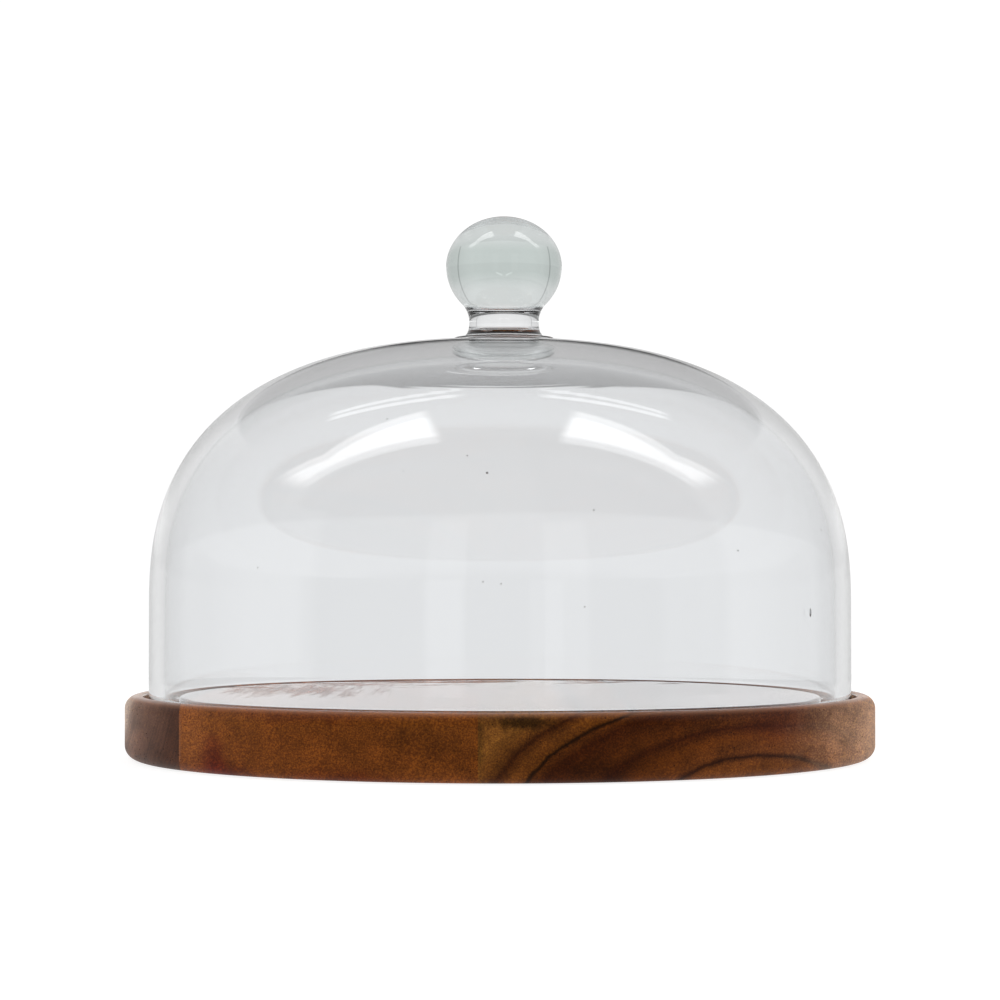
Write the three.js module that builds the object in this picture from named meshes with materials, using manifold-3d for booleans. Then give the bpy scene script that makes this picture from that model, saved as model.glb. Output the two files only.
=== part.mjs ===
// Cheese dome: a clear glass bell with a ball knob, standing in the ring groove of a round
// serving board that is glued up from three staves of hardwood.
// Millimetres, +Z up. The origin is the centre of the board's underside, and the grain and the
// glued joints of the staves run along Y.

import * as THREE from "three";
import { mergeVertices } from "three/addons/utils/BufferGeometryUtils.js";
import Module from "manifold-3d";

const wasm = await Module();
wasm.setup();

// --- Driving dimensions -------------------------------------------------------------------

// Glass bell
const BELL_RADIUS = 140.6; // outside of the straight wall
const BELL_HEIGHT = 147.2; // lip to the top of the crown
const STRAIGHT_WALL_HEIGHT = 39.7; // lip to where the shoulder starts to turn in
const WALL = 6.3;
const SHOULDER_POWER = 2.5; // 2 would be an ellipse, higher is squarer

// Glass knob
const KNOB_RADIUS = 23.4; // at the widest part of the ball
const KNOB_TOP_RISE = 20.2; // widest part to the top
const KNOB_LOWER_DROP = 22; // depth that the lower half of the ball would have without its neck
const NECK_RADIUS = 14.1;
const NECK_HEIGHT = 8; // foot's underside to the narrowest part of the neck
const NECK_FLARE = 2.9; // how far the hollow under the ball reaches out from the neck
const FOOT_RADIUS = 20.2;
const FOOT_EDGE = 1.4; // height of the foot's upright edge
const FOOT_COVE_POWER = 3;
const SEAT_MARGIN = 0.8; // flat land on the crown around the knob's foot
const KNOB_OFF_CENTRE = 1.6; // the knob was put on by hand, a little to the right of the axis

// Board
const BOARD_THICKNESS = 25;
const GROOVE_DEPTH = 5;
const GROOVE_OUTER_CLEARANCE = 2.1; // groove wall to the outside of the bell
const GROOVE_INNER_CLEARANCE = 5.8; // groove wall to the inside of the bell
const RIM_WIDTH = 7.3; // groove to the edge of the board
const TOP_EDGE_ROUND = 5;
const BOTTOM_EDGE_ROUND = 5.5;
const GROOVE_EDGE_ROUND = 1;
const MIDDLE_STAVE_WIDTH = 111.6;
const RIGHT_JOINT_X = -7.8; // glued joint between the middle stave and the right one

const LIP_GAP = 0.3; // bell's lip to the groove's floor

// Facets
const RING_FACETS = 72; // round the bell and the board, a multiple of 4
const KNOB_FACETS = 48;
const SHOULDER_STEPS = 14;
const BALL_STEPS = 10;
const ROUND_STEPS = 3;

// --- Sizes that follow --------------------------------------------------------------------

const bellInnerRadius = BELL_RADIUS - WALL;
const grooveOuterRadius = BELL_RADIUS + GROOVE_OUTER_CLEARANCE;
const grooveInnerRadius = bellInnerRadius - GROOVE_INNER_CLEARANCE;
const boardRadius = grooveOuterRadius + RIM_WIDTH;
const grooveFloor = BOARD_THICKNESS - GROOVE_DEPTH;
const lipHeight = grooveFloor + LIP_GAP;
const shoulderHeight = lipHeight + STRAIGHT_WALL_HEIGHT;
const crownHeight = lipHeight + BELL_HEIGHT;
const outerShoulderRise = crownHeight - shoulderHeight;
const knobSeatRadius = FOOT_RADIUS + KNOB_OFF_CENTRE + SEAT_MARGIN;
const knobSeatHeight =
  shoulderHeight +
  outerShoulderRise * superellipseRise(knobSeatRadius / BELL_RADIUS, SHOULDER_POWER);
const leftJointX = RIGHT_JOINT_X - MIDDLE_STAVE_WIDTH;

// --- Curves -------------------------------------------------------------------------------

// Height, as a share of the full rise, of the curve |x|^power + |y|^power = 1 at x.
function superellipseRise(x, power) {
  return (1 - x ** power) ** (1 / power);
}

// Quarter of a superellipse from (centre.x + width, centre.y) to (centre.x, centre.y + rise).
// Either size may be negative, which turns the quarter over.
function quarter(centre, width, rise, power, steps) {
  const points = [];
  for (let i = 0; i <= steps; i++) {
    const angle = (Math.PI / 2) * (i / steps);
    const across = i === steps ? 0 : Math.cos(angle) ** (2 / power);
    const up = i === 0 ? 0 : Math.sin(angle) ** (2 / power);
    points.push(new THREE.Vector2(centre.x + width * across, centre.y + rise * up));
  }
  return points;
}

// The same quarter's points moved in along its normals, which makes a wall of even thickness.
// A normal is the curve's slope, the (power - 1)th power of each coordinate's share of its size.
function quarterInset(centre, width, rise, power, steps, wall) {
  const inset = quarter(centre, width, rise, power, steps).map((point) => {
    const across = (point.x - centre.x) / width;
    const up = (point.y - centre.y) / rise;
    const normal = at(across ** (power - 1) / width, up ** (power - 1) / rise).normalize();
    return point.addScaledVector(normal, -wall);
  });
  inset[steps].x = centre.x;
  return inset;
}

function roundedCorner(centre, width, rise) {
  return quarter(centre, width, rise, 2, ROUND_STEPS);
}

// Drops each point that repeats the one before it.
function outline(...pieces) {
  const points = pieces.flat();
  return points.filter((p, i) => i === 0 || p.distanceTo(points[i - 1]) > 1e-6);
}

const at = (x, y) => new THREE.Vector2(x, y);

// --- Solids -------------------------------------------------------------------------------

function bareGeometry(geometry) {
  geometry.deleteAttribute("normal");
  geometry.deleteAttribute("uv");
  return mergeVertices(geometry, 1e-4);
}

// Turns an outline of (radius, height) points, which goes from the axis out and back to it
// with the solid on its left, into a closed body around Z.
function turned(points, facets) {
  const geometry = new THREE.LatheGeometry(points, facets);
  geometry.rotateX(Math.PI / 2);
  return bareGeometry(geometry);
}

function toSolid(geometry) {
  return new wasm.Manifold(
    new wasm.Mesh({
      numProp: 3,
      vertProperties: new Float32Array(geometry.getAttribute("position").array),
      triVerts: new Uint32Array(geometry.index.array),
    }),
  );
}

function toGeometry(solid) {
  const mesh = solid.getMesh();
  const geometry = new THREE.BufferGeometry();
  geometry.setAttribute("position", new THREE.BufferAttribute(mesh.vertProperties, 3));
  geometry.setIndex(new THREE.BufferAttribute(mesh.triVerts, 1));
  geometry.computeVertexNormals();
  return geometry;
}

// --- Glass --------------------------------------------------------------------------------

// The inside goes up from the lip to the crown, the outside comes down again. The lip is
// half round, and the crown has a flat seat where the knob's foot is fused on.
function bellGeometry() {
  const lipRound = WALL / 2;
  const lipCentre = at(bellInnerRadius + lipRound, lipHeight + lipRound);
  const lip = [
    ...roundedCorner(lipCentre, -lipRound, -lipRound),
    ...roundedCorner(lipCentre, lipRound, -lipRound).reverse(),
  ];
  const crown = [at(0, shoulderHeight), BELL_RADIUS, outerShoulderRise, SHOULDER_POWER, SHOULDER_STEPS];
  const inside = quarterInset(...crown, WALL);
  const outside = quarter(...crown).filter((point) => point.x > knobSeatRadius + SEAT_MARGIN);
  const seat = [at(knobSeatRadius, knobSeatHeight), at(0, knobSeatHeight)];
  return turned(outline(inside.reverse(), lip, outside, seat), RING_FACETS);
}

// A solid ball that narrows through a hollow arc to its neck and spreads again to a foot.
function knobGeometry() {
  const flareRadius = NECK_RADIUS + NECK_FLARE;
  const flareAngle = Math.acos(flareRadius / KNOB_RADIUS);
  // Slope of the ball's outline, from upright, where the hollow arc takes over from it.
  const lean = Math.atan2(
    KNOB_RADIUS * Math.sin(flareAngle),
    KNOB_LOWER_DROP * Math.cos(flareAngle),
  );
  const hollowRadius = NECK_FLARE / (1 - Math.cos(lean));
  const neckHeight = knobSeatHeight + NECK_HEIGHT;
  const ballHeight =
    neckHeight + hollowRadius * Math.sin(lean) + KNOB_LOWER_DROP * Math.sin(flareAngle);

  const foot = [at(0, knobSeatHeight), at(FOOT_RADIUS, knobSeatHeight)];
  const cove = quarter(
    at(FOOT_RADIUS, neckHeight),
    NECK_RADIUS - FOOT_RADIUS,
    FOOT_EDGE - NECK_HEIGHT,
    FOOT_COVE_POWER,
    BALL_STEPS / 2,
  ).reverse();
  const hollow = [];
  const lowerBall = [];
  for (let i = 1; i <= BALL_STEPS / 2; i++) {
    const turn = lean * (i / (BALL_STEPS / 2));
    hollow.push(
      at(NECK_RADIUS + hollowRadius * (1 - Math.cos(turn)), neckHeight + hollowRadius * Math.sin(turn)),
    );
    const angle = flareAngle * (1 - i / (BALL_STEPS / 2));
    lowerBall.push(
      at(KNOB_RADIUS * Math.cos(angle), ballHeight - KNOB_LOWER_DROP * Math.sin(angle)),
    );
  }
  const upperBall = quarter(at(0, ballHeight), KNOB_RADIUS, KNOB_TOP_RISE, 2, BALL_STEPS);
  const knob = turned(outline(foot, cove, hollow, lowerBall, upperBall), KNOB_FACETS);
  return knob.translate(KNOB_OFF_CENTRE, 0, 0);
}

// --- Board --------------------------------------------------------------------------------

// Underside, outer edge with both its round corners, rim, groove, and the raised middle.
function boardGeometry() {
  const edgeRound = Math.min(GROOVE_EDGE_ROUND, GROOVE_DEPTH / 2);
  const points = outline(
    [at(0, 0)],
    roundedCorner(
      at(boardRadius - BOTTOM_EDGE_ROUND, BOTTOM_EDGE_ROUND), BOTTOM_EDGE_ROUND, -BOTTOM_EDGE_ROUND,
    ).reverse(),
    roundedCorner(
      at(boardRadius - TOP_EDGE_ROUND, BOARD_THICKNESS - TOP_EDGE_ROUND), TOP_EDGE_ROUND, TOP_EDGE_ROUND,
    ),
    roundedCorner(
      at(grooveOuterRadius + edgeRound, BOARD_THICKNESS - edgeRound), -edgeRound, edgeRound,
    ).reverse(),
    [at(grooveOuterRadius, grooveFloor), at(grooveInnerRadius, grooveFloor)],
    roundedCorner(
      at(grooveInnerRadius - edgeRound, BOARD_THICKNESS - edgeRound), edgeRound, edgeRound,
    ),
    [at(0, BOARD_THICKNESS)],
  );
  return turned(points, RING_FACETS);
}

// The part of the board between two upright planes across X.
function staveGeometry(board, fromX, toX) {
  const reach = boardRadius * 2;
  const slab = new THREE.BoxGeometry(toX - fromX, reach * 2, reach * 2);
  slab.translate((fromX + toX) / 2, 0, 0);
  // The two planes are written again, so that neighbours share them to the last digit.
  const position = slab.getAttribute("position");
  for (let i = 0; i < position.count; i++) {
    position.setX(i, position.getX(i) < (fromX + toX) / 2 ? fromX : toX);
  }
  return toGeometry(board.intersect(toSolid(bareGeometry(slab))));
}

// --- Materials ----------------------------------------------------------------------------

function glass() {
  return new THREE.MeshStandardMaterial({
    color: 0xe3e8e8, roughness: 0.02, metalness: 0, transparent: true, opacity: 0.35,
  });
}

function wood(color) {
  return new THREE.MeshStandardMaterial({ color, roughness: 0.42, metalness: 0 });
}

// --- Assembly -----------------------------------------------------------------------------

function piece(name, geometry, material) {
  const mesh = new THREE.Mesh(geometry, material);
  mesh.name = name;
  return mesh;
}

const boardSolid = toSolid(boardGeometry());
const beyondEdge = boardRadius + 1;

const servingBoard = new THREE.Group();
servingBoard.add(
  piece("left_stave", staveGeometry(boardSolid, -beyondEdge, leftJointX), wood(0x67513f)),
  piece("middle_stave", staveGeometry(boardSolid, leftJointX, RIGHT_JOINT_X), wood(0x62371d)),
  piece("right_stave", staveGeometry(boardSolid, RIGHT_JOINT_X, beyondEdge), wood(0x4d2a10)),
);

const glassCover = new THREE.Group();
glassCover.add(
  piece("glass_dome", bellGeometry(), glass()),
  piece("glass_knob", knobGeometry(), glass()),
);

const cheeseDome = new THREE.Group();
cheeseDome.add(servingBoard, glassCover);

export default cheeseDome;
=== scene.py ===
"""Looks of a cheese dome: a clear glass bell with a ball knob on a round hardwood board.

Everything is in metres, +Z up, with the origin at the centre of the board's underside. The
staves of the board run along Y, and +X is to the right of somebody who looks along +Y.
"""

import math

import bmesh
import bpy
import numpy as np
from bpy.props import FloatProperty, FloatVectorProperty, IntProperty, PointerProperty
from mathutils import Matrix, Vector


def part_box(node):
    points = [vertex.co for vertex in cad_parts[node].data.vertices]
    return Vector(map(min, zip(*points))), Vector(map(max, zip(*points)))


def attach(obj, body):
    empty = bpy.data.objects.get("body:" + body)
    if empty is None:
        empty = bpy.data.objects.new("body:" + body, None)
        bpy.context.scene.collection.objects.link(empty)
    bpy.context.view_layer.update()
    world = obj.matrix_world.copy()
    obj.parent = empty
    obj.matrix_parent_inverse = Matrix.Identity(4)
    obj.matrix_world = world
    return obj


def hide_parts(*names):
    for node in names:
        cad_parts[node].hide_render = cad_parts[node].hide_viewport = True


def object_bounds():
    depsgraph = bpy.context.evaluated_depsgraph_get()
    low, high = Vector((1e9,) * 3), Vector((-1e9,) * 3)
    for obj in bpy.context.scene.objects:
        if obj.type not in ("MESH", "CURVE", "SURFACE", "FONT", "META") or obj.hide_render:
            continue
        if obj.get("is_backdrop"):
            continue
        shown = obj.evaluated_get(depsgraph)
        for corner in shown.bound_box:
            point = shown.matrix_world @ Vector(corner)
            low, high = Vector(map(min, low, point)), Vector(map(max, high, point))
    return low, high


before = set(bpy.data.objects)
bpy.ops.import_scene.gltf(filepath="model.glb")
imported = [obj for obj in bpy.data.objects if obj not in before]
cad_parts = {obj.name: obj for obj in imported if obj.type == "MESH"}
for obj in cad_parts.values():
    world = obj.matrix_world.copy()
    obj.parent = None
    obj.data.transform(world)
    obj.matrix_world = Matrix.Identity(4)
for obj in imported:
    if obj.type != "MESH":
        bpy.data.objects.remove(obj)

bl_info = {
    "name": "Cheese dome",
    "version": (1, 0, 0),
    "blender": (4, 5, 0),
    "location": "View3D > Sidebar > Cheese dome",
    "description": "Makes a blown glass cover, its turned hardwood board and a plain studio",
    "category": "Object",
}

MM = 0.001
CAD_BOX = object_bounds()
WHITE = (1, 1, 1)


def from_srgb(hex_code):
    """Linear red, green and blue of a colour written as on the web, such as 8a5a34."""
    shares = [int(hex_code[i : i + 2], 16) / 255 for i in (0, 2, 4)]
    return tuple(s / 12.92 if s <= 0.04045 else ((s + 0.055) / 1.055) ** 2.4 for s in shares)


# --- Settings -----------------------------------------------------------------------------


def length(name, description, default):
    """A length in metres with the fine steps that glass and wood need."""
    return FloatProperty(
        name=name, description=description, default=default, min=0, precision=4,
        subtype="DISTANCE", unit="LENGTH",
    )


def colour(name, description, hex_code):
    """A colour that is picked on a colour wheel."""
    return FloatVectorProperty(
        name=name, description=description, default=from_srgb(hex_code), subtype="COLOR",
        min=0, max=1,
    )


def share(name, description, default, highest=1.0):
    """A plain number from 0 up."""
    return FloatProperty(name=name, description=description, default=default, min=0, max=highest)


class CoverSettings(bpy.types.PropertyGroup):
    """Sizes of the glass cover that its box doesn't give, and its glass."""

    straight_wall: length("Straight wall", "Height from the lip to the shoulder", 39.7 * MM)
    wall: length("Wall", "Thickness of the glass", 6.3 * MM)
    shoulder_power: FloatProperty(
        name="Shoulder power", description="2 is an ellipse, higher is squarer", default=2.5, min=2,
    )
    neck_radius: length("Neck radius", "Narrowest part under the ball", 14.1 * MM)
    neck_height: length("Neck height", "Crown to the narrowest part of the neck", 8 * MM)
    neck_flare: length("Neck flare", "Reach of the hollow under the ball", 2.9 * MM)
    ball_drop: length("Ball drop", "Depth of the ball below its widest part", 22 * MM)
    foot_radius: length("Foot radius", "Spread foot of the knob", 20.2 * MM)
    foot_edge: length("Foot edge", "Height of the foot's edge", 1.4 * MM)
    wall_waves: length("Wall waves", "Unevenness of the blown wall", 0.012 * MM)
    crown_rings: length("Crown rings", "Tool rings round the knob's foot", 0.012 * MM)
    wall_tint: colour("Wall tint", "What the bell lets through", "fafbfc")
    knob_tint: colour("Knob tint", "What the ball of the knob lets through", "d0d9d6")
    refraction: FloatProperty(name="Refraction", description="Index of the glass", default=1.5, min=1)
    around: IntProperty(name="Steps around", description="Facets round the cover", default=256, min=16)


class BoardSettings(bpy.types.PropertyGroup):
    """Sizes of the board that its box doesn't give, and its finish."""

    rim_width: length("Rim width", "Groove to the edge of the board", 7.3 * MM)
    groove_width: length("Groove width", "Across the ring groove", 14.2 * MM)
    groove_depth: length("Groove depth", "Rim to the groove's floor", 5 * MM)
    top_round: length("Top round", "Radius of the upper outer edge", 5 * MM)
    bottom_round: length("Bottom round", "Radius of the lower outer edge", 5.5 * MM)
    groove_round: length("Groove round", "Radius of the groove's two upper edges", 1 * MM)
    roughness: share("Roughness", "Roughness of the wood under its finish", 0.4)
    coat_roughness: share("Finish roughness", "Roughness of the clear finish", 0.07)
    pore_depth: length("Pore depth", "Depth of the open pores", 0.12 * MM)
    around: IntProperty(name="Steps around", description="Facets round the board", default=360, min=16)


class StageSettings(bpy.types.PropertyGroup):
    """Where the camera stands, and how bright the studio is."""

    camera_distance: length("Camera distance", "From the board's axis", 1.181)
    eye_height: length("Eye height", "Above the table", 0.0815)
    tilt: FloatProperty(
        name="Tilt", description="How far the camera looks up", default=math.radians(1.037),
        subtype="ANGLE", unit="ROTATION",
    )
    lens: FloatProperty(name="Lens", description="Focal length in millimetres", default=105.4, min=10)
    panel_light: share("Panel light", "Brightness of the two overhead panels", 3.2, 20)
    wall_light: share("Wall light", "Brightness of the white walls behind and beside", 0.92, 4)
    ceiling_light: share("Ceiling light", "Brightness of the grey ceiling", 0.13, 4)
    room_light: share("Room light", "Brightness of the dim room in front", 0.22, 4)
    table_light: share("Table light", "The table as the glass and the wood see it", 0.82, 4)


# --- Surfaces -----------------------------------------------------------------------------


def quarter(centre, width, rise, power, count):
    """Quarter of a superellipse from (centre + width, 0) to (0, centre + rise).

    At angle t from 0 to a quarter turn, the two coordinates are cos(t) and sin(t), each raised
    to 2 / power and scaled by the width and the rise.
    """
    t = np.linspace(0, np.pi / 2, count)
    across = np.clip(np.cos(t), 0, 1) ** (2 / power)
    up = np.sin(t) ** (2 / power)
    across[-1] = 0
    return np.stack([centre[0] + width * across, centre[1] + rise * up], axis=1)


def quarter_normals(width, rise, power, count):
    """Unit normals of that quarter at the same angles.

    Each is cos(t) and sin(t) raised to 2 - 2 / power and divided by the width and the rise.
    """
    t = np.linspace(0, np.pi / 2, count)
    slope = np.stack([np.clip(np.cos(t), 0, 1), np.sin(t)], axis=1) ** (2 - 2 / power)
    slope /= (width, rise)
    return slope / np.linalg.norm(slope, axis=1, keepdims=True)


SAME_POINT = 1e-7


def joined(*pieces):
    """One outline from several, without the points that repeat the one before them."""
    points = np.concatenate([np.asarray(piece, float).reshape(-1, 2) for piece in pieces])
    step = np.linalg.norm(np.diff(points, axis=0), axis=1)
    return points[np.concatenate([[True], step > SAME_POINT])]


def outline_normals(outline):
    """Unit normals of an outline, on the right of its direction of travel."""
    tangent = np.gradient(outline, axis=0)
    tangent /= np.linalg.norm(tangent, axis=1, keepdims=True)
    return np.stack([tangent[:, 1], -tangent[:, 0]], axis=1)


def turned_surface(outline, around, offset=None):
    """Vertices and faces of an outline of (radius, height) turned once around Z.

    The point at step i of the outline and angle a is (r cos a, r sin a, z), where r and z are
    the outline's own plus offset(i, a) along its normal. Both ends lie on the axis and become
    single points, and the solid is on the left of the outline.
    """
    angle = np.arange(around) * 2 * np.pi / around
    rings = outline[1:-1]
    radius = np.repeat(rings[:, :1], around, axis=1)
    height = np.repeat(rings[:, 1:], around, axis=1)
    if offset is not None:
        normal = outline_normals(outline)[1:-1]
        shift = offset(radius, height, angle[None, :])
        radius = radius + shift * normal[:, :1]
        height = height + shift * normal[:, 1:]
    grid = np.stack([radius * np.cos(angle), radius * np.sin(angle), height], axis=2)
    ends = np.array([[0, 0, outline[0, 1]], [0, 0, outline[-1, 1]]])
    points = np.concatenate([grid.reshape(-1, 3), ends])

    here = np.arange(around)
    there = (here + 1) % around
    row = np.arange(len(rings) - 1)[:, None] * around
    quads = np.stack([row + here, row + there, row + around + there, row + around + here], axis=2)
    first, last = len(points) - 2, len(points) - 1
    top = (len(rings) - 1) * around
    start = np.stack([np.full(around, first), there, here], axis=1)
    finish = np.stack([np.full(around, last), top + here, top + there], axis=1)
    return points, quads.reshape(-1, 4).tolist() + start.tolist() + finish.tolist()


def bubble_surface(centre, radii, steps=10):
    """A small hollow in the glass: an ellipsoid whose faces point to its own middle.

    The point at latitude u and longitude v is the centre plus the three radii times
    (cos u cos v, cos u sin v, sin u).
    """
    latitude = np.linspace(-np.pi / 2, np.pi / 2, steps)
    outline = np.stack([np.cos(latitude), np.sin(latitude)], axis=1)
    outline[[0, -1], 0] = 0
    points, faces = turned_surface(outline, steps * 2)
    return points * radii + centre, [face[::-1] for face in faces]


def new_piece(name, points, faces, material):
    """A mesh object at the origin, with smooth faces and one material."""
    mesh = bpy.data.meshes.new(name)
    mesh.from_pydata(points.tolist(), [], faces)
    mesh.update()
    mesh.shade_smooth()
    mesh.materials.append(material)
    piece = bpy.data.objects.new(name, mesh)
    bpy.context.scene.collection.objects.link(piece)
    return piece


# --- Shader maths -------------------------------------------------------------------------


class Term:
    """A number that varies from place to place. Python's operators add the Math nodes."""

    def __init__(self, nodes, socket):
        self.nodes = nodes
        self.socket = socket

    def __add__(self, other):
        return self.nodes.math("ADD", self, other)

    __radd__ = __add__

    def __mul__(self, other):
        return self.nodes.math("MULTIPLY", self, other)

    __rmul__ = __mul__

    def __sub__(self, other):
        return self.nodes.math("SUBTRACT", self, other)

    def __rsub__(self, other):
        return self.nodes.math("SUBTRACT", other, self)

    def __truediv__(self, other):
        return self.nodes.math("DIVIDE", self, other)

    def __pow__(self, other):
        return self.nodes.math("POWER", self, other)

    def __abs__(self):
        return self.nodes.math("ABSOLUTE", self)

    def above(self, low, high):
        """0 up to low, 1 from high on, and a smooth rise between them."""
        return self.nodes.smooth_step(self, low, high)

    def below(self, low, high):
        """1 up to low, 0 from high on."""
        return 1 - self.above(low, high)

    def between(self, low, high, soft):
        """1 from low to high, with soft edges of that width outside."""
        return self.above(low - soft, low) * self.below(high, high + soft)

    def blend(self, factor, other):
        """This number where the factor is 0, and the other where it's 1."""
        return self * (1 - factor) + factor * other


class Nodes:
    """Adds nodes to one node tree."""

    def __init__(self, tree):
        self.tree = tree
        tree.nodes.clear()

    def add(self, kind, settings=None, inputs=None):
        """One node: its own settings first, then the values or links of its sockets."""
        node = self.tree.nodes.new("ShaderNode" + kind)
        for name, value in (settings or {}).items():
            if name == "stops":
                self.set_stops(node.color_ramp, value)
            else:
                setattr(node, name, value)
        for name, value in (inputs or {}).items():
            self.plug(node.inputs[name], value)
        return node

    def plug(self, socket, value):
        """Links a term or a socket, or sets a number, or a colour or vector of any length."""
        if isinstance(value, Term):
            value = value.socket
        if isinstance(value, bpy.types.NodeSocket):
            self.tree.links.new(value, socket)
        elif isinstance(value, (int, float)):
            socket.default_value = value
        else:
            plain = tuple(value)
            socket.default_value = plain + (1,) * (len(socket.default_value) - len(plain))

    def set_stops(self, ramp, stops):
        """Stops are (place from 0 to 1, linear colour), in order."""
        while len(ramp.elements) < len(stops):
            ramp.elements.new(1)
        for element, (place, paint) in zip(ramp.elements, stops):
            element.position = place
            element.color = (*paint, 1)

    def math(self, operation, a, b=None):
        """A Math node on one or two numbers."""
        inputs = {0: a} if b is None else {0: a, 1: b}
        return Term(self, self.add("Math", {"operation": operation}, inputs).outputs[0])

    def smooth_step(self, value, low, high):
        """0 up to low, 1 from high on, and an S-shaped rise between them."""
        node = self.add(
            "MapRange", {"interpolation_type": "SMOOTHSTEP"},
            {"Value": value, "From Min": low, "From Max": high},
        )
        return Term(self, node.outputs["Result"])

    def split(self, vector):
        """The three coordinates of a vector, as terms."""
        node = self.add("SeparateXYZ", inputs={"Vector": vector})
        return [Term(self, socket) for socket in node.outputs]

    def join(self, x, y, z):
        """A vector from three terms."""
        return self.add("CombineXYZ", inputs={"X": x, "Y": y, "Z": z}).outputs[0]

    def scaled(self, vector, by):
        """A vector times another, coordinate by coordinate."""
        node = self.add("VectorMath", {"operation": "MULTIPLY"}, {0: vector, 1: by})
        return node.outputs[0]

    def noise(self, vector, scale, detail=3.0, roughness=0.5):
        """Soft noise from 0 to 1."""
        node = self.add("TexNoise", inputs={
            "Vector": vector, "Scale": scale, "Detail": detail, "Roughness": roughness,
        })
        return Term(self, node.outputs[0])

    def cells(self, vector, scale):
        """Distance to the nearest of many scattered points."""
        node = self.add("TexVoronoi", inputs={"Vector": vector, "Scale": scale})
        return Term(self, node.outputs["Distance"])

    def ramp(self, value, stops):
        """The colour at a value, on a ramp through the stops."""
        return self.add("ValToRGB", {"stops": stops}, {"Fac": value}).outputs["Color"]

    def blend(self, factor, a, b, mode="MIX"):
        """Two colours mixed: a where the factor is 0, and b, laid on in the mode, where it's 1."""
        node = self.add("Mix", {"data_type": "RGBA", "blend_type": mode})
        for index, value in ((0, factor), (6, a), (7, b)):
            self.plug(node.inputs[index], value)
        return node.outputs[2]


def new_material(name):
    """An empty material and its nodes."""
    material = bpy.data.materials.new(name)
    material.use_nodes = True
    return material, Nodes(material.node_tree)


# --- Glass --------------------------------------------------------------------------------


TINT_MIDDLE = 20.5 * MM  # top of the knob to the height where its tint is fullest
TINT_FADE = (4 * MM, 12 * MM)  # above and below that: where the tint begins to fade and is gone
SEAT_MARGIN = 0.8 * MM  # flat land on the crown around the knob's foot
TOE_ROUND = 0.5 * MM  # hollow round between the crown and the edge of the knob's foot
COVE_POWER = 3
CROWN_STEPS = 120
WALL_STEPS = 14


def clear_glass(cover):
    """Clear glass, tinted where the ball is thick.

    Light for the wood and the table comes straight through it.
    """
    material, nodes = new_material("clear_glass")
    height = nodes.split(nodes.add("TexCoord").outputs["Object"])[2]
    from_middle = abs(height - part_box("glass_knob")[1].z + TINT_MIDDLE)
    thick = from_middle.below(*TINT_FADE)
    glass = nodes.add("BsdfPrincipled", inputs={
        "Base Color": nodes.blend(thick, cover.wall_tint, cover.knob_tint), "Roughness": 0.0,
        "IOR": cover.refraction, "Transmission Weight": 1.0,
    })
    open_air = nodes.add("BsdfTransparent", inputs={"Color": WHITE})
    light_path = nodes.add("LightPath")
    lit = nodes.add("MixShader", inputs={
        0: light_path.outputs["Is Shadow Ray"], 1: glass.outputs[0], 2: open_air.outputs[0],
    })
    both = nodes.add("MixShader", inputs={
        0: light_path.outputs["Is Diffuse Ray"], 1: lit.outputs[0], 2: open_air.outputs[0],
    })
    nodes.add("OutputMaterial", inputs={"Surface": both.outputs[0]})
    return material


def foot_reach(cover):
    """How far the knob's foot reaches from the bell's axis."""
    knob_low, knob_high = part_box("glass_knob")
    return cover.foot_radius + (knob_low.x + knob_high.x) / 2 + SEAT_MARGIN


def crown_shape(cover):
    """Height of the shoulder, and width, rise, power and steps of the crown's outside.

    The rise is such that the crown reaches the height of the knob's seat at the foot's reach.
    """
    bell_low, bell_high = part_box("glass_dome")
    shoulder = bell_low.z + cover.straight_wall
    seat_share = foot_reach(cover) / bell_high.x
    seat_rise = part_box("glass_knob")[0].z - shoulder
    whole_rise = seat_rise / (1 - seat_share**cover.shoulder_power) ** (1 / cover.shoulder_power)
    return shoulder, (bell_high.x, whole_rise, cover.shoulder_power, CROWN_STEPS)


def cover_outline(cover):
    """Inside of the crown to the lip, then the outside up to the knob's foot, neck and ball."""
    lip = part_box("glass_dome")[0].z
    shoulder, crown = crown_shape(cover)
    outer_radius = crown[0]
    full = quarter((0, shoulder), *crown)
    inside = (full - quarter_normals(*crown) * cover.wall)[::-1]
    inside[0, 0] = 0
    lip_round = cover.wall / 2
    lip_centre = (outer_radius - lip_round, lip + lip_round)
    inner_wall = np.stack([
        np.full(WALL_STEPS, outer_radius - cover.wall),
        np.linspace(shoulder, lip_centre[1], WALL_STEPS),
    ], axis=1)
    lip_inside = quarter(lip_centre, -lip_round, -lip_round, 2, 8)
    lip_outside = quarter(lip_centre, lip_round, -lip_round, 2, 8)[::-1]
    outer_wall = inner_wall[::-1] + (cover.wall, 0)
    outside = full[full[:, 0] > foot_reach(cover)]
    knob = knob_outline(cover)
    return joined(inside, inner_wall, lip_inside, lip_outside, outer_wall, outside, knob)


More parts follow.
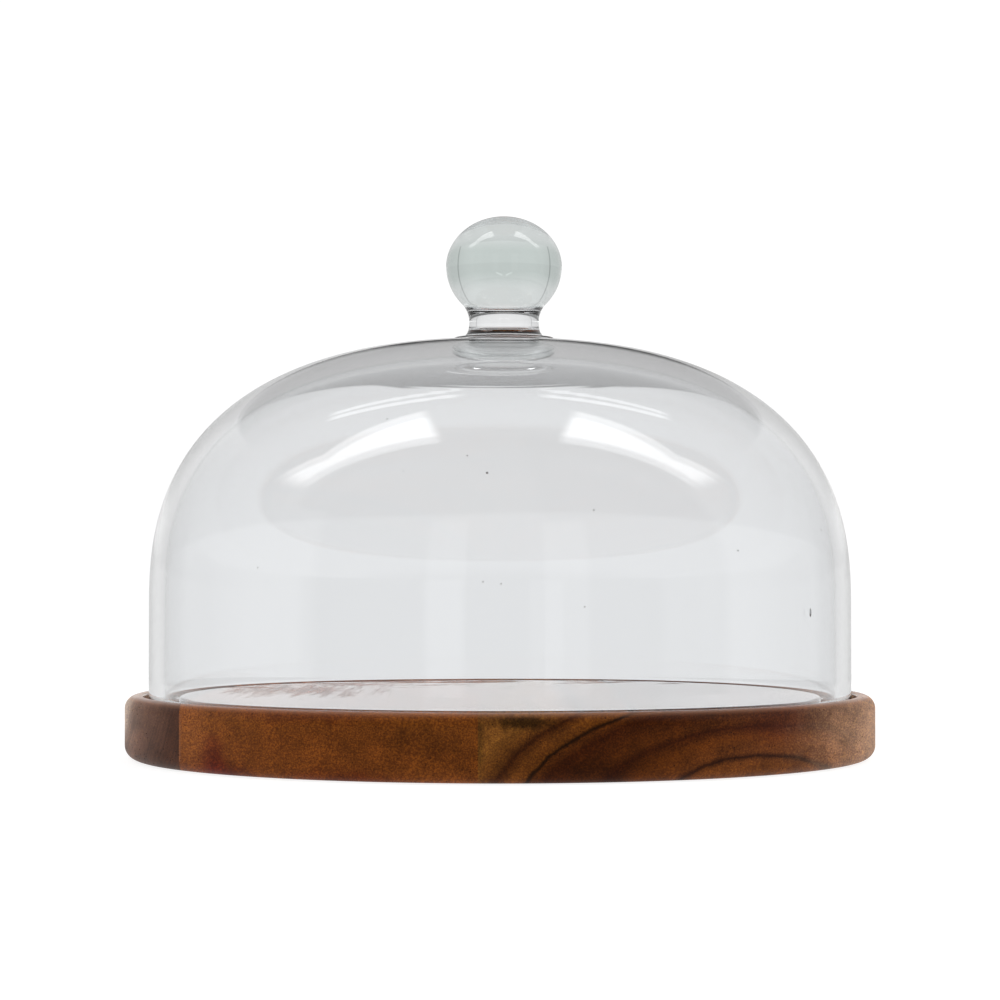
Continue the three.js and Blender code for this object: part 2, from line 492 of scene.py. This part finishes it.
def knob_outline(cover):
    """Foot with a soft edge, cove up to the neck, hollow arc under the ball, and the ball.

    The ball's lower half is half an ellipse, and the arc meets it where their slopes agree.
    """
    low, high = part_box("glass_knob")
    seat = low.z
    ball_radius = (high.x - low.x) / 2
    neck = seat + cover.neck_height
    flare_radius = cover.neck_radius + cover.neck_flare
    flare_angle = math.acos(flare_radius / ball_radius)
    lean = math.atan2(ball_radius * math.sin(flare_angle), cover.ball_drop * math.cos(flare_angle))
    hollow_radius = cover.neck_flare / (1 - math.cos(lean))
    ball = neck + hollow_radius * math.sin(lean) + cover.ball_drop * math.sin(flare_angle)

    edge_round = cover.foot_edge / 2
    edge_middle = cover.foot_radius - edge_round
    edge = quarter((edge_middle, seat + cover.foot_edge - edge_round), edge_round, edge_round, 2, 6)
    toe_centre = (cover.foot_radius + TOE_ROUND, seat + TOE_ROUND)
    toe = quarter(toe_centre, -TOE_ROUND, -TOE_ROUND, 2, 5)[::-1]
    cove_rise = cover.foot_edge - cover.neck_height
    cove = quarter(
        (edge_middle, neck), cover.neck_radius - edge_middle, cove_rise, COVE_POWER, 26,
    )[::-1]
    turn = np.linspace(0, lean, 18)
    hollow = np.stack([
        cover.neck_radius + hollow_radius * (1 - np.cos(turn)), neck + hollow_radius * np.sin(turn),
    ], axis=1)
    fall = np.linspace(flare_angle, 0, 26)
    lower = np.stack([ball_radius * np.cos(fall), ball - cover.ball_drop * np.sin(fall)], axis=1)
    upper = quarter((0, ball), ball_radius, high.z - ball, 2, 44)
    return joined(toe, edge, cove, hollow, lower, upper)


# Seeds, the small bubbles that blown glass keeps: X, height, half width and half height in
# millimetres. All lie in the front of the bell, half way through its wall.
SEEDS = (
    (-4.6, 109.8, 0.45, 0.4), (-11.7, 116, 0.25, 0.25), (-34.6, 110.5, 0.2, 0.2),
    (-41, 129.6, 0.25, 0.25), (33.4, 96.6, 0.3, 0.3), (120.9, 89.8, 0.35, 0.35),
    (86.4, 82.2, 0.3, 0.3), (0.4, 70.5, 0.25, 0.25), (-6, 71.2, 0.25, 0.25),
    (30, 62.3, 0.25, 0.25), (115.5, 59, 0.6, 1.6), (-88, 76, 0.2, 0.3),
)


def seeds(cover):
    """Bubble surfaces for the seeds, each at the middle of the wall for its X and height."""
    shoulder, crown = crown_shape(cover)
    middle = quarter((0, shoulder), *crown) - quarter_normals(*crown) * cover.wall / 2
    for x, height, half_width, half_height in np.array(SEEDS) * MM:
        radius = np.interp(height, middle[:, 1], middle[:, 0])
        centre = (x, -math.sqrt(radius**2 - x**2), height)
        yield bubble_surface(centre, (half_width, half_width, half_height))


class CHEESE_DOME_OT_add_cover(bpy.types.Operator):
    """Make the blown glass bell with the knob fused onto its crown"""

    bl_idname = "cheese_dome.add_cover"
    bl_label = "Glass cover"

    def execute(self, context):
        cover = context.scene.cheese_cover
        outline = cover_outline(cover)
        knob_low, knob_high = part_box("glass_knob")
        off_centre = (knob_low.x + knob_high.x) / 2

        def unevenness(radius, height, angle):
            """Two slow waves over the wall, and fine rings on the crown that die away outwards.

            The waves are sines of 3 and 5 turns round the bell that twist with the height. The
            rings are a sine of the radius, times a bell curve of it. Both fade to the middle.
            """
            rising_wave = np.sin(3 * angle + height / (19 * MM))
            falling_wave = np.sin(5 * angle - height / (13 * MM) + 1.7)
            rings = np.sin(radius / (0.9 * MM) + 0.8 * np.sin(2 * angle))
            near_knob = np.exp(-((radius / (38 * MM)) ** 2))
            fade = np.clip(radius / (30 * MM), 0, 1) * (height < knob_low.z)
            waves = cover.wall_waves * (rising_wave + falling_wave) / 2
            return fade * (waves + cover.crown_rings * rings * near_knob)

        points, faces = turned_surface(outline, cover.around, unevenness)
        on_knob = points[:, 2] > knob_low.z - 0.01 * MM
        points[on_knob, 0] += off_centre
        for bubble, bubble_faces in seeds(cover):
            faces += [[corner + len(points) for corner in face] for face in bubble_faces]
            points = np.concatenate([points, bubble])
        piece = new_piece("blown_glass_cover", points, faces, clear_glass(cover))
        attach(piece, "cover")
        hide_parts("glass_dome", "glass_knob")
        return {"FINISHED"}


# --- Wood ---------------------------------------------------------------------------------


class Stave:
    """How one stave's wood is laid: where its heart was, and the colours going out from it."""

    def __init__(self, node, heart, flatten, zones, speckle, streaks, stains=()):
        self.node = node
        self.heart = heart  # X and Z of the tree's heart, in millimetres
        self.flatten = flatten  # how much wider than high its rings are
        self.zones = zones  # (distance from the heart in millimetres, colour)
        self.reach = zones[-1][0]
        self.speckle = speckle  # how strongly the speckle shows, from 0 to 1
        self.streaks = streaks  # and the streaks
        self.stains = stains  # (X, Z, half width, half height, raggedness, strength, colour)


STAVES = (
    Stave(
        "left_stave", heart=(-200, 36), flatten=1.0,
        zones=(
            # The two palest zones lie on the rounded left end: the wood's own paler tone, lightened
            # further as painted light for the light that falls on that end
            (40, "d4c4ba"), (54, "d2baac"), (61, "8e6c5c"), (67, "745040"), (80, "4e2e20"),
            (110, "4a2a1c"),
        ),
        speckle=0.4, streaks=0.6,
    ),
    Stave(
        "middle_stave", heart=(-60, -70), flatten=1.4,
        zones=((68, "763d16"), (78, "7e441a"), (86, "763f16"), (95, "84491b"), (110, "7c4119")),
        speckle=0.8, streaks=0.3,
        stains=(
            (-104, 0, 15, 7, 0.9, 0.85, "561008"), (-106, 7, 6, 9, 1.2, 0.7, "5c1a0c"),
            (-55, 0, 22, 5, 1.5, 0.5, "5a1a08"), (-70, 24, 34, 4, 1.5, 0.4, "5a1a08"),
            (-113, 14, 7, 22, 0.8, 0.3, "96582c"), (-30, 18, 20, 8, 1.5, 0.25, "3a1c08"),
        ),
    ),
    Stave(
        "right_stave", heart=(94, -8), flatten=2.2,
        zones=(
            (0, "7a441a"), (14.4, "723e18"), (16, "2e1206"), (17.6, "703c18"), (23, "6a360e"),
            (27, "401a05"), (29, "562a0a"), (36, "441c05"), (38.2, "5e300e"), (39, "0c0300"),
            (39.8, "6a3a12"), (42, "754218"), (44.5, "3e1c08"), (46.5, "7c4a1e"), (49, "96602a"),
            (56, "7c4c22"), (70, "72441c"),
        ),
        speckle=0.7, streaks=0.35,
        stains=(
            (8, 22, 13, 3.5, 2.2, 0.8, "1a1004"), (-7, 12, 2, 14, 1.5, 0.5, "33240a"),
            (40, 3, 26, 7, 1.2, 0.45, "2a0d02"), (104, 20, 16, 9, 1.2, 0.35, "5a200c"),
            (164, 13, 52, 34, 0.3, 0.8, "c09274"),
        ),
    ),
)


# What a noise does to the wood's colour: (noise, multiplier of red, green and blue)
STREAK_TONES = ((0.3, (0.35, 0.35, 0.35)), (0.7, WHITE))
CLOUD_TONES = ((0.3, (0.72, 0.72, 0.72)), (0.7, (1.25, 1.25, 1.25)))
GRIT_TONES = ((0.36, (0.6, 0.5, 0.4)), (0.5, WHITE), (0.64, (1.8, 1.8, 1.2)))

PORE_COLOUR = from_srgb("1a0b03")
# Painted sheen: a pale pinkish tan for the top of the rim, where it catches light at a low angle
PAINTED_RIM_SHEEN = from_srgb("c48e70")


def spread(x, y, centre_x, centre_y, half_width, half_height):
    """Distance from a centre as a share of an ellipse's reach: 1 is on the ellipse."""
    across, up = (x - centre_x) / half_width, (y - centre_y) / half_height
    return (across * across + up * up) ** 0.5


def hardwood(stave, board):
    """Oiled hardwood whose figure runs through the whole stave along Y.

    Rings go round the heart, stretched sideways and pushed about by slow noise, and each has
    its colour. Over them lie soft stains, fine streaks, a speckle that is round on the end
    grain and long on the side grain, and dark open pores. Within the rim a thick finish lies
    over the wood, worn in patches towards the back, and on top of the rim there is a thin one.
    The top of the rim is lightened towards a pale tan as a painted sheen. All lengths here are in
    millimetres.
    """
    material, nodes = new_material(stave.node + "_wood")
    place = nodes.scaled(nodes.add("TexCoord").outputs["Object"], (1 / MM,) * 3)
    x, y, z = nodes.split(place)
    long_grain = nodes.scaled(place, (1, 0.06, 1))
    slow = nodes.scaled(place, (1, 0.25, 1))
    drift = nodes.noise(slow, 0.045, 2) - 0.5
    waver = nodes.noise(long_grain, 0.35, 3) - 0.5
    ring = spread(x, z, *stave.heart, stave.flatten, 1) + drift * 4 + waver * 0.7

    zones = [(at / stave.reach, from_srgb(paint)) for at, paint in stave.zones]
    figure = nodes.ramp(ring / stave.reach, zones)
    ragged = nodes.noise(long_grain, 0.22, 4, 0.65) - 0.5
    for *ellipse, raggedness, strength, paint in stave.stains:
        stain = spread(x, z, *ellipse) + ragged * raggedness
        figure = nodes.blend(stain.below(0.2, 1.25) * strength, figure, from_srgb(paint))
    streak = nodes.noise(nodes.join(ring * 1.1, y * 0.01, x * 0.04), 1.0, 4, 0.6)
    cloud = nodes.noise(slow, 0.11, 3, 0.6)
    grit = nodes.noise(long_grain, 1.65, 2, 0.7)
    for strength, noise, tones in (
        (stave.streaks, streak, STREAK_TONES), (1.0, cloud, CLOUD_TONES),
        (stave.speckle, grit, GRIT_TONES),
    ):
        figure = nodes.blend(strength, figure, nodes.ramp(noise, tones), "MULTIPLY")
    patches = nodes.noise(nodes.scaled(place, (1, 0.08, 1)), 0.28, 2)
    pore = nodes.cells(nodes.scaled(place, (1, 0.035, 1)), 0.62).below(0.09, 0.2)
    pore = pore * patches.above(0.4, 0.6)
    figure = nodes.blend(pore * 0.75, figure, PORE_COLOUR)

    rim = (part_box("right_stave")[1].x - board.rim_width) / MM
    rim_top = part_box("right_stave")[1].z / MM - 0.1
    within = ((x * x + y * y) ** 0.5).below(rim, rim + 0.6)
    # Painted sheen: the rim's top outside the glass is lightened towards that pale tan
    painted_sheen_on_rim = z.above(rim_top - 1.9, rim_top) * (1 - within)
    figure = nodes.blend(painted_sheen_on_rim * 0.3, figure, PAINTED_RIM_SHEEN)
    thin = nodes.noise(nodes.scaled(place, (0.4, 1, 1)), 0.07, 4, 0.7) + y * 0.003 - x * 0.0009
    rubbed = spread(x, y, -84, 36, 34, 62) + ragged * 3
    worn = nodes.math("MAXIMUM", thin.above(0.74, 0.88), rubbed.below(0.3, 1.2) * 0.62)
    height = nodes.add("Bump", inputs={
        "Strength": 0.6, "Distance": board.pore_depth, "Height": 1 - pore - waver * 0.3,
    })
    wood = nodes.add("BsdfPrincipled", inputs={
        "Base Color": figure, "Roughness": board.roughness + grit * 0.1 + pore * 0.3,
        "Normal": height.outputs[0], "Specular IOR Level": 0.06, "Coat IOR": 1.6,
        "Coat Weight": (z.above(rim_top - 0.9, rim_top) * 0.4).blend(within, 1 - worn * 0.75),
        "Coat Roughness": board.coat_roughness,
    })
    nodes.add("OutputMaterial", inputs={"Surface": wood.outputs[0]})
    return material


def board_outline(board, radius, thickness):
    """Underside, outer edge with its two rounds, rim, groove and the raised middle."""
    groove_outer = radius - board.rim_width
    groove_inner = groove_outer - board.groove_width
    floor = thickness - board.groove_depth
    low_round, high_round, ease = board.bottom_round, board.top_round, board.groove_round
    corner = 0.6 * MM  # hollow round at the foot of the groove's walls
    land = 0.3 * MM  # flat next to a round, which keeps the shading of the flat even

    def round_at(centre, width, rise, count):
        return quarter(centre, width, rise, 2, count)

    underside = [(0, 0), (radius * 0.5, 0), (radius - low_round - land, 0)]
    low = round_at((radius - low_round, low_round), low_round, -low_round, 14)[::-1]
    side_low, side_high = low_round + land, thickness - high_round - land
    side = [(radius, z) for z in (side_low, (side_low + side_high) / 2, side_high)]
    high = round_at((radius - high_round, thickness - high_round), high_round, high_round, 14)
    outer_edge = round_at((groove_outer + ease, thickness - ease), -ease, ease, 7)[::-1]
    outer_foot = round_at((groove_outer - corner, floor + corner), corner, -corner, 5)
    inner_foot = round_at((groove_inner + corner, floor + corner), -corner, -corner, 5)[::-1]
    inner_edge = round_at((groove_inner - ease, thickness - ease), ease, ease, 7)
    middle = [(r, thickness) for r in (groove_inner - ease - land, groove_inner * 0.5, 0)]
    return joined(
        underside, low, side, high, outer_edge, outer_foot, inner_foot, inner_edge, middle,
    )


def cut_between(mesh, low_x, high_x):
    """Keeps what lies between two upright planes and closes the cuts with flat faces."""
    shape = bmesh.new()
    shape.from_mesh(mesh)
    for x, outward in ((low_x, -1), (high_x, 1)):
        bmesh.ops.bisect_plane(
            shape, geom=shape.verts[:] + shape.edges[:] + shape.faces[:], dist=SAME_POINT,
            plane_co=(x, 0, 0), plane_no=(outward, 0, 0), clear_outer=True,
        )
        open_edges = [edge for edge in shape.edges if edge.is_boundary]
        if open_edges:
            bmesh.ops.holes_fill(shape, edges=open_edges, sides=0)
    bmesh.ops.recalc_face_normals(shape, faces=shape.faces)
    shape.to_mesh(mesh)
    shape.free()
    mesh.shade_smooth()
    mesh.set_sharp_from_angle(angle=math.radians(40))


class CHEESE_DOME_OT_add_board(bpy.types.Operator):
    """Make the three glued staves of the turned board"""

    bl_idname = "cheese_dome.add_board"
    bl_label = "Board"

    def execute(self, context):
        board = context.scene.cheese_board
        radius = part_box("right_stave")[1].x
        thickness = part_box("right_stave")[1].z
        points, faces = turned_surface(board_outline(board, radius, thickness), board.around)
        for stave in STAVES:
            low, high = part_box(stave.node)
            piece = new_piece(stave.node + "_turned", points, faces, hardwood(stave, board))
            cut_between(piece.data, low.x, high.x)
            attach(piece, "board")
            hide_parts(stave.node)
        return {"FINISHED"}


# --- Stage --------------------------------------------------------------------------------

BACKDROP_LIGHT = 1.05
TABLE_RADIUS = 0.75
TABLE_SIDES = 96
TABLE_GAP = 0.2 * MM
TABLE_GREY = 0.3
TABLE_GLOW = 0.84


def turn_of(x, y):
    """How far a direction is turned sideways: 1 is about an eighth of a turn from the Y axis."""
    return x / (0.03 + abs(y))


def white_walls(stage, x, y, z, mirrored, through_knob):
    """Brightness of the walls: a little darker upwards and to the sides.

    Two pale seams run down from their tops, and each far corner has a dark line that only the
    knob shows. Mirrored in the glass the walls are duller, with a pale band along their feet.
    """
    walls = stage.wall_light - z.above(0.026, 0.031) * 0.05 - abs(x).above(0.3, 0.8) * 0.12
    upper_seam = (z + abs(x) * 0.5).between(0.199, 0.202, 0.003)
    lower_seam = (z + abs(x) * 0.45).between(0.186, 0.189, 0.003)
    walls = walls + (upper_seam + lower_seam) * abs(x).between(0.025, 0.085, 0.01) * 0.3
    corner = abs(turn_of(x, y)).between(0.81, 0.83, 0.03) * y.above(0, 0.1)
    walls = walls - corner * through_knob * 0.3
    foot_band = z.between(0.035, 0.09, 0.01) * 0.28 - 0.16
    return walls + mirrored * (abs(x).below(0.3, 0.5) * foot_band - abs(x).above(0.4, 0.8) * 0.2)


def overhead_panels(x, y, z):
    """1 on two light panels in the ceiling, left and right, each narrowest at its own middle.

    A direction meets the ceiling at X / Z and Y / Z. A panel's far edge is a line that rises
    away from its middle on both sides, and it dims outwards.
    """
    height = z.above(0.02, 0.05) * z + z.below(0.02, 0.05) * 0.05
    sideways = abs(x) / height
    forwards = y / height
    far_edge = abs(sideways - 0.9) * 0.25 - 0.08
    panel = sideways.above(0.23, 0.29) * sideways.below(1.2, 1.6)
    panel = panel * forwards.above(-0.27, -0.22) * (forwards - far_edge).below(0, 0.04)
    return panel * z.above(0.3, 0.5) * (1.2 - sideways * 0.3)


def front_room(stage, x, y, z):
    """Brightness of the dim room in front of the box, with three paler upright stripes."""
    turn = turn_of(x, y)
    stripes = (
        turn.between(-0.41, -0.19, 0.01) + turn.between(0.25, 0.52, 0.01)
        + turn.below(-1.8, -1.75)
    )
    dark_corner = turn.above(0.2, 0.3) * z.above(0.4, 0.45)
    return stage.room_light + stripes * z.below(0.44, 0.46) * 0.3 - dark_corner * 0.1


def studio_world(stage):
    """A white box without a front: low white walls, a grey ceiling and two light panels in it.

    Reflections also see the dim room in front of the box. Seen directly it is plain white.
    X, Y and Z are those of a direction one unit long.
    """
    world = bpy.data.worlds.new("studio")
    bpy.context.scene.world = world
    world.use_nodes = True
    nodes = Nodes(world.node_tree)
    x, y, z = nodes.split(nodes.add("TexCoord").outputs["Generated"])
    light_path = nodes.add("LightPath")
    lights_wood = Term(nodes, light_path.outputs["Is Diffuse Ray"])
    mirrored = (Term(nodes, light_path.outputs["Glossy Depth"]) + lights_wood).above(0, 1)
    walls_crossed = Term(nodes, light_path.outputs["Transmission Depth"])
    through_knob = (1 - mirrored) * walls_crossed.below(2, 3)
    inside_glass = mirrored * walls_crossed.above(0, 1)

    wall_top = 0.196 + nodes.math("MAXIMUM", abs(x) - 0.05, 0) * 0.6
    ceiling = (z - wall_top).above(-0.002, 0.004) * (1 - through_knob)
    pale_ceiling = nodes.math("MAXIMUM", z.above(0.24, 0.34), inside_glass)
    grey = stage.ceiling_light + pale_ceiling * 0.42
    walls = white_walls(stage, x, y, z, mirrored, through_knob)
    lamps = x.above(0.4, 0.9) * 2.2 + x.below(-0.9, -0.4) * 1.3
    box = walls * (1 - ceiling) + ceiling * grey + lamps * lights_wood
    front = y.below(-0.23, -0.19) * mirrored
    strength = box * (1 - front) + front_room(stage, x, y, z) * front
    strength = strength + overhead_panels(x, y, z) * stage.panel_light

    studio = nodes.add("Background", inputs={"Color": WHITE, "Strength": strength})
    backdrop = nodes.add("Background", inputs={"Color": WHITE, "Strength": BACKDROP_LIGHT})
    mix = nodes.add("MixShader", inputs={
        0: light_path.outputs["Is Camera Ray"], 1: studio.outputs[0], 2: backdrop.outputs[0],
    })
    nodes.add("OutputWorld", inputs={"Surface": mix.outputs[0]})


def glowing(nodes, strength):
    """A white emission of that strength, as a shader's output."""
    return nodes.add("Emission", inputs={"Color": WHITE, "Strength": strength}).outputs[0]


def pale_table(stage):
    """A round pale table top, a hair below the board.

    Seen directly it takes soft shadows. Glass and wood see it evenly lit, and dim near the front.
    """
    material, nodes = new_material("pale_table")
    matt = nodes.add("BsdfDiffuse", inputs={"Color": (TABLE_GREY,) * 3})
    direct = nodes.add("AddShader", inputs={0: matt.outputs[0], 1: glowing(nodes, TABLE_GLOW)})
    forwards = nodes.split(nodes.add("TexCoord").outputs["Object"])[1]
    indirect = nodes.add("MixShader", inputs={
        0: forwards.below(-0.7, -0.2), 1: glowing(nodes, stage.table_light),
        2: glowing(nodes, stage.room_light),
    })
    both = nodes.add("MixShader", inputs={
        0: nodes.add("LightPath").outputs["Is Camera Ray"], 1: indirect.outputs[0],
        2: direct.outputs[0],
    })
    nodes.add("OutputMaterial", inputs={"Surface": both.outputs[0]})
    angle = np.arange(TABLE_SIDES) * 2 * np.pi / TABLE_SIDES
    depth = np.full(TABLE_SIDES, -TABLE_GAP)
    rim = np.stack([TABLE_RADIUS * np.cos(angle), TABLE_RADIUS * np.sin(angle), depth], axis=1)
    new_piece("table_top", rim, [list(range(TABLE_SIDES))], material)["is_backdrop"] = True


def add_camera(stage):
    """A camera in front of the board, which looks along +Y and a little up."""
    data = bpy.data.cameras.new("camera")
    data.lens = stage.lens
    camera = bpy.data.objects.new("camera", data)
    camera.location = (0, -stage.camera_distance, stage.eye_height)
    camera.rotation_euler = (math.pi / 2 + stage.tilt, 0, 0)
    bpy.context.scene.collection.objects.link(camera)
    bpy.context.scene.camera = camera


class CHEESE_DOME_OT_add_stage(bpy.types.Operator):
    """Lay the pale table, light the studio and set up the camera"""

    bl_idname = "cheese_dome.add_stage"
    bl_label = "Studio"

    def execute(self, context):
        stage = context.scene.cheese_stage
        studio_world(stage)
        pale_table(stage)
        add_camera(stage)
        context.scene.view_settings.view_transform = "Standard"
        return {"FINISHED"}


# --- Add-on -------------------------------------------------------------------------------


class CHEESE_DOME_PT_pieces(bpy.types.Panel):
    """Lists the pieces that can be made"""

    bl_idname = "CHEESE_DOME_PT_pieces"
    bl_label = "Cheese dome"
    bl_space_type = "VIEW_3D"
    bl_region_type = "UI"
    bl_category = "Cheese dome"

    def draw(self, context):
        for operator, settings in STEPS:
            box = self.layout.box()
            box.operator(operator.bl_idname)
            group = getattr(context.scene, settings)
            for name in group.__annotations__:
                box.prop(group, name)


STEPS = (
    (CHEESE_DOME_OT_add_stage, "cheese_stage"),
    (CHEESE_DOME_OT_add_board, "cheese_board"),
    (CHEESE_DOME_OT_add_cover, "cheese_cover"),
)
SETTINGS = {
    "cheese_stage": StageSettings,
    "cheese_board": BoardSettings,
    "cheese_cover": CoverSettings,
}


def register():
    """Adds the settings, the operators and the panel."""
    for name, group in SETTINGS.items():
        bpy.utils.register_class(group)
        setattr(bpy.types.Scene, name, PointerProperty(type=group))
    for operator, _ in STEPS:
        bpy.utils.register_class(operator)
    bpy.utils.register_class(CHEESE_DOME_PT_pieces)


def unregister():
    """Takes them away again, last first."""
    bpy.utils.unregister_class(CHEESE_DOME_PT_pieces)
    for operator, _ in reversed(STEPS):
        bpy.utils.unregister_class(operator)
    for name, group in reversed(SETTINGS.items()):
        delattr(bpy.types.Scene, name)
        bpy.utils.unregister_class(group)


def main():
    """Makes every piece, and works out how large the frame and the pieces are."""
    register()
    for operator, _ in STEPS:
        group, name = operator.bl_idname.split(".")
        getattr(getattr(bpy.ops, group), name)()
    boxes = {"cad": CAD_BOX, "visual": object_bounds()}
    {name: [list(corner) for corner in box] for name, box in boxes.items()}


if __name__ == "__main__":
    main()
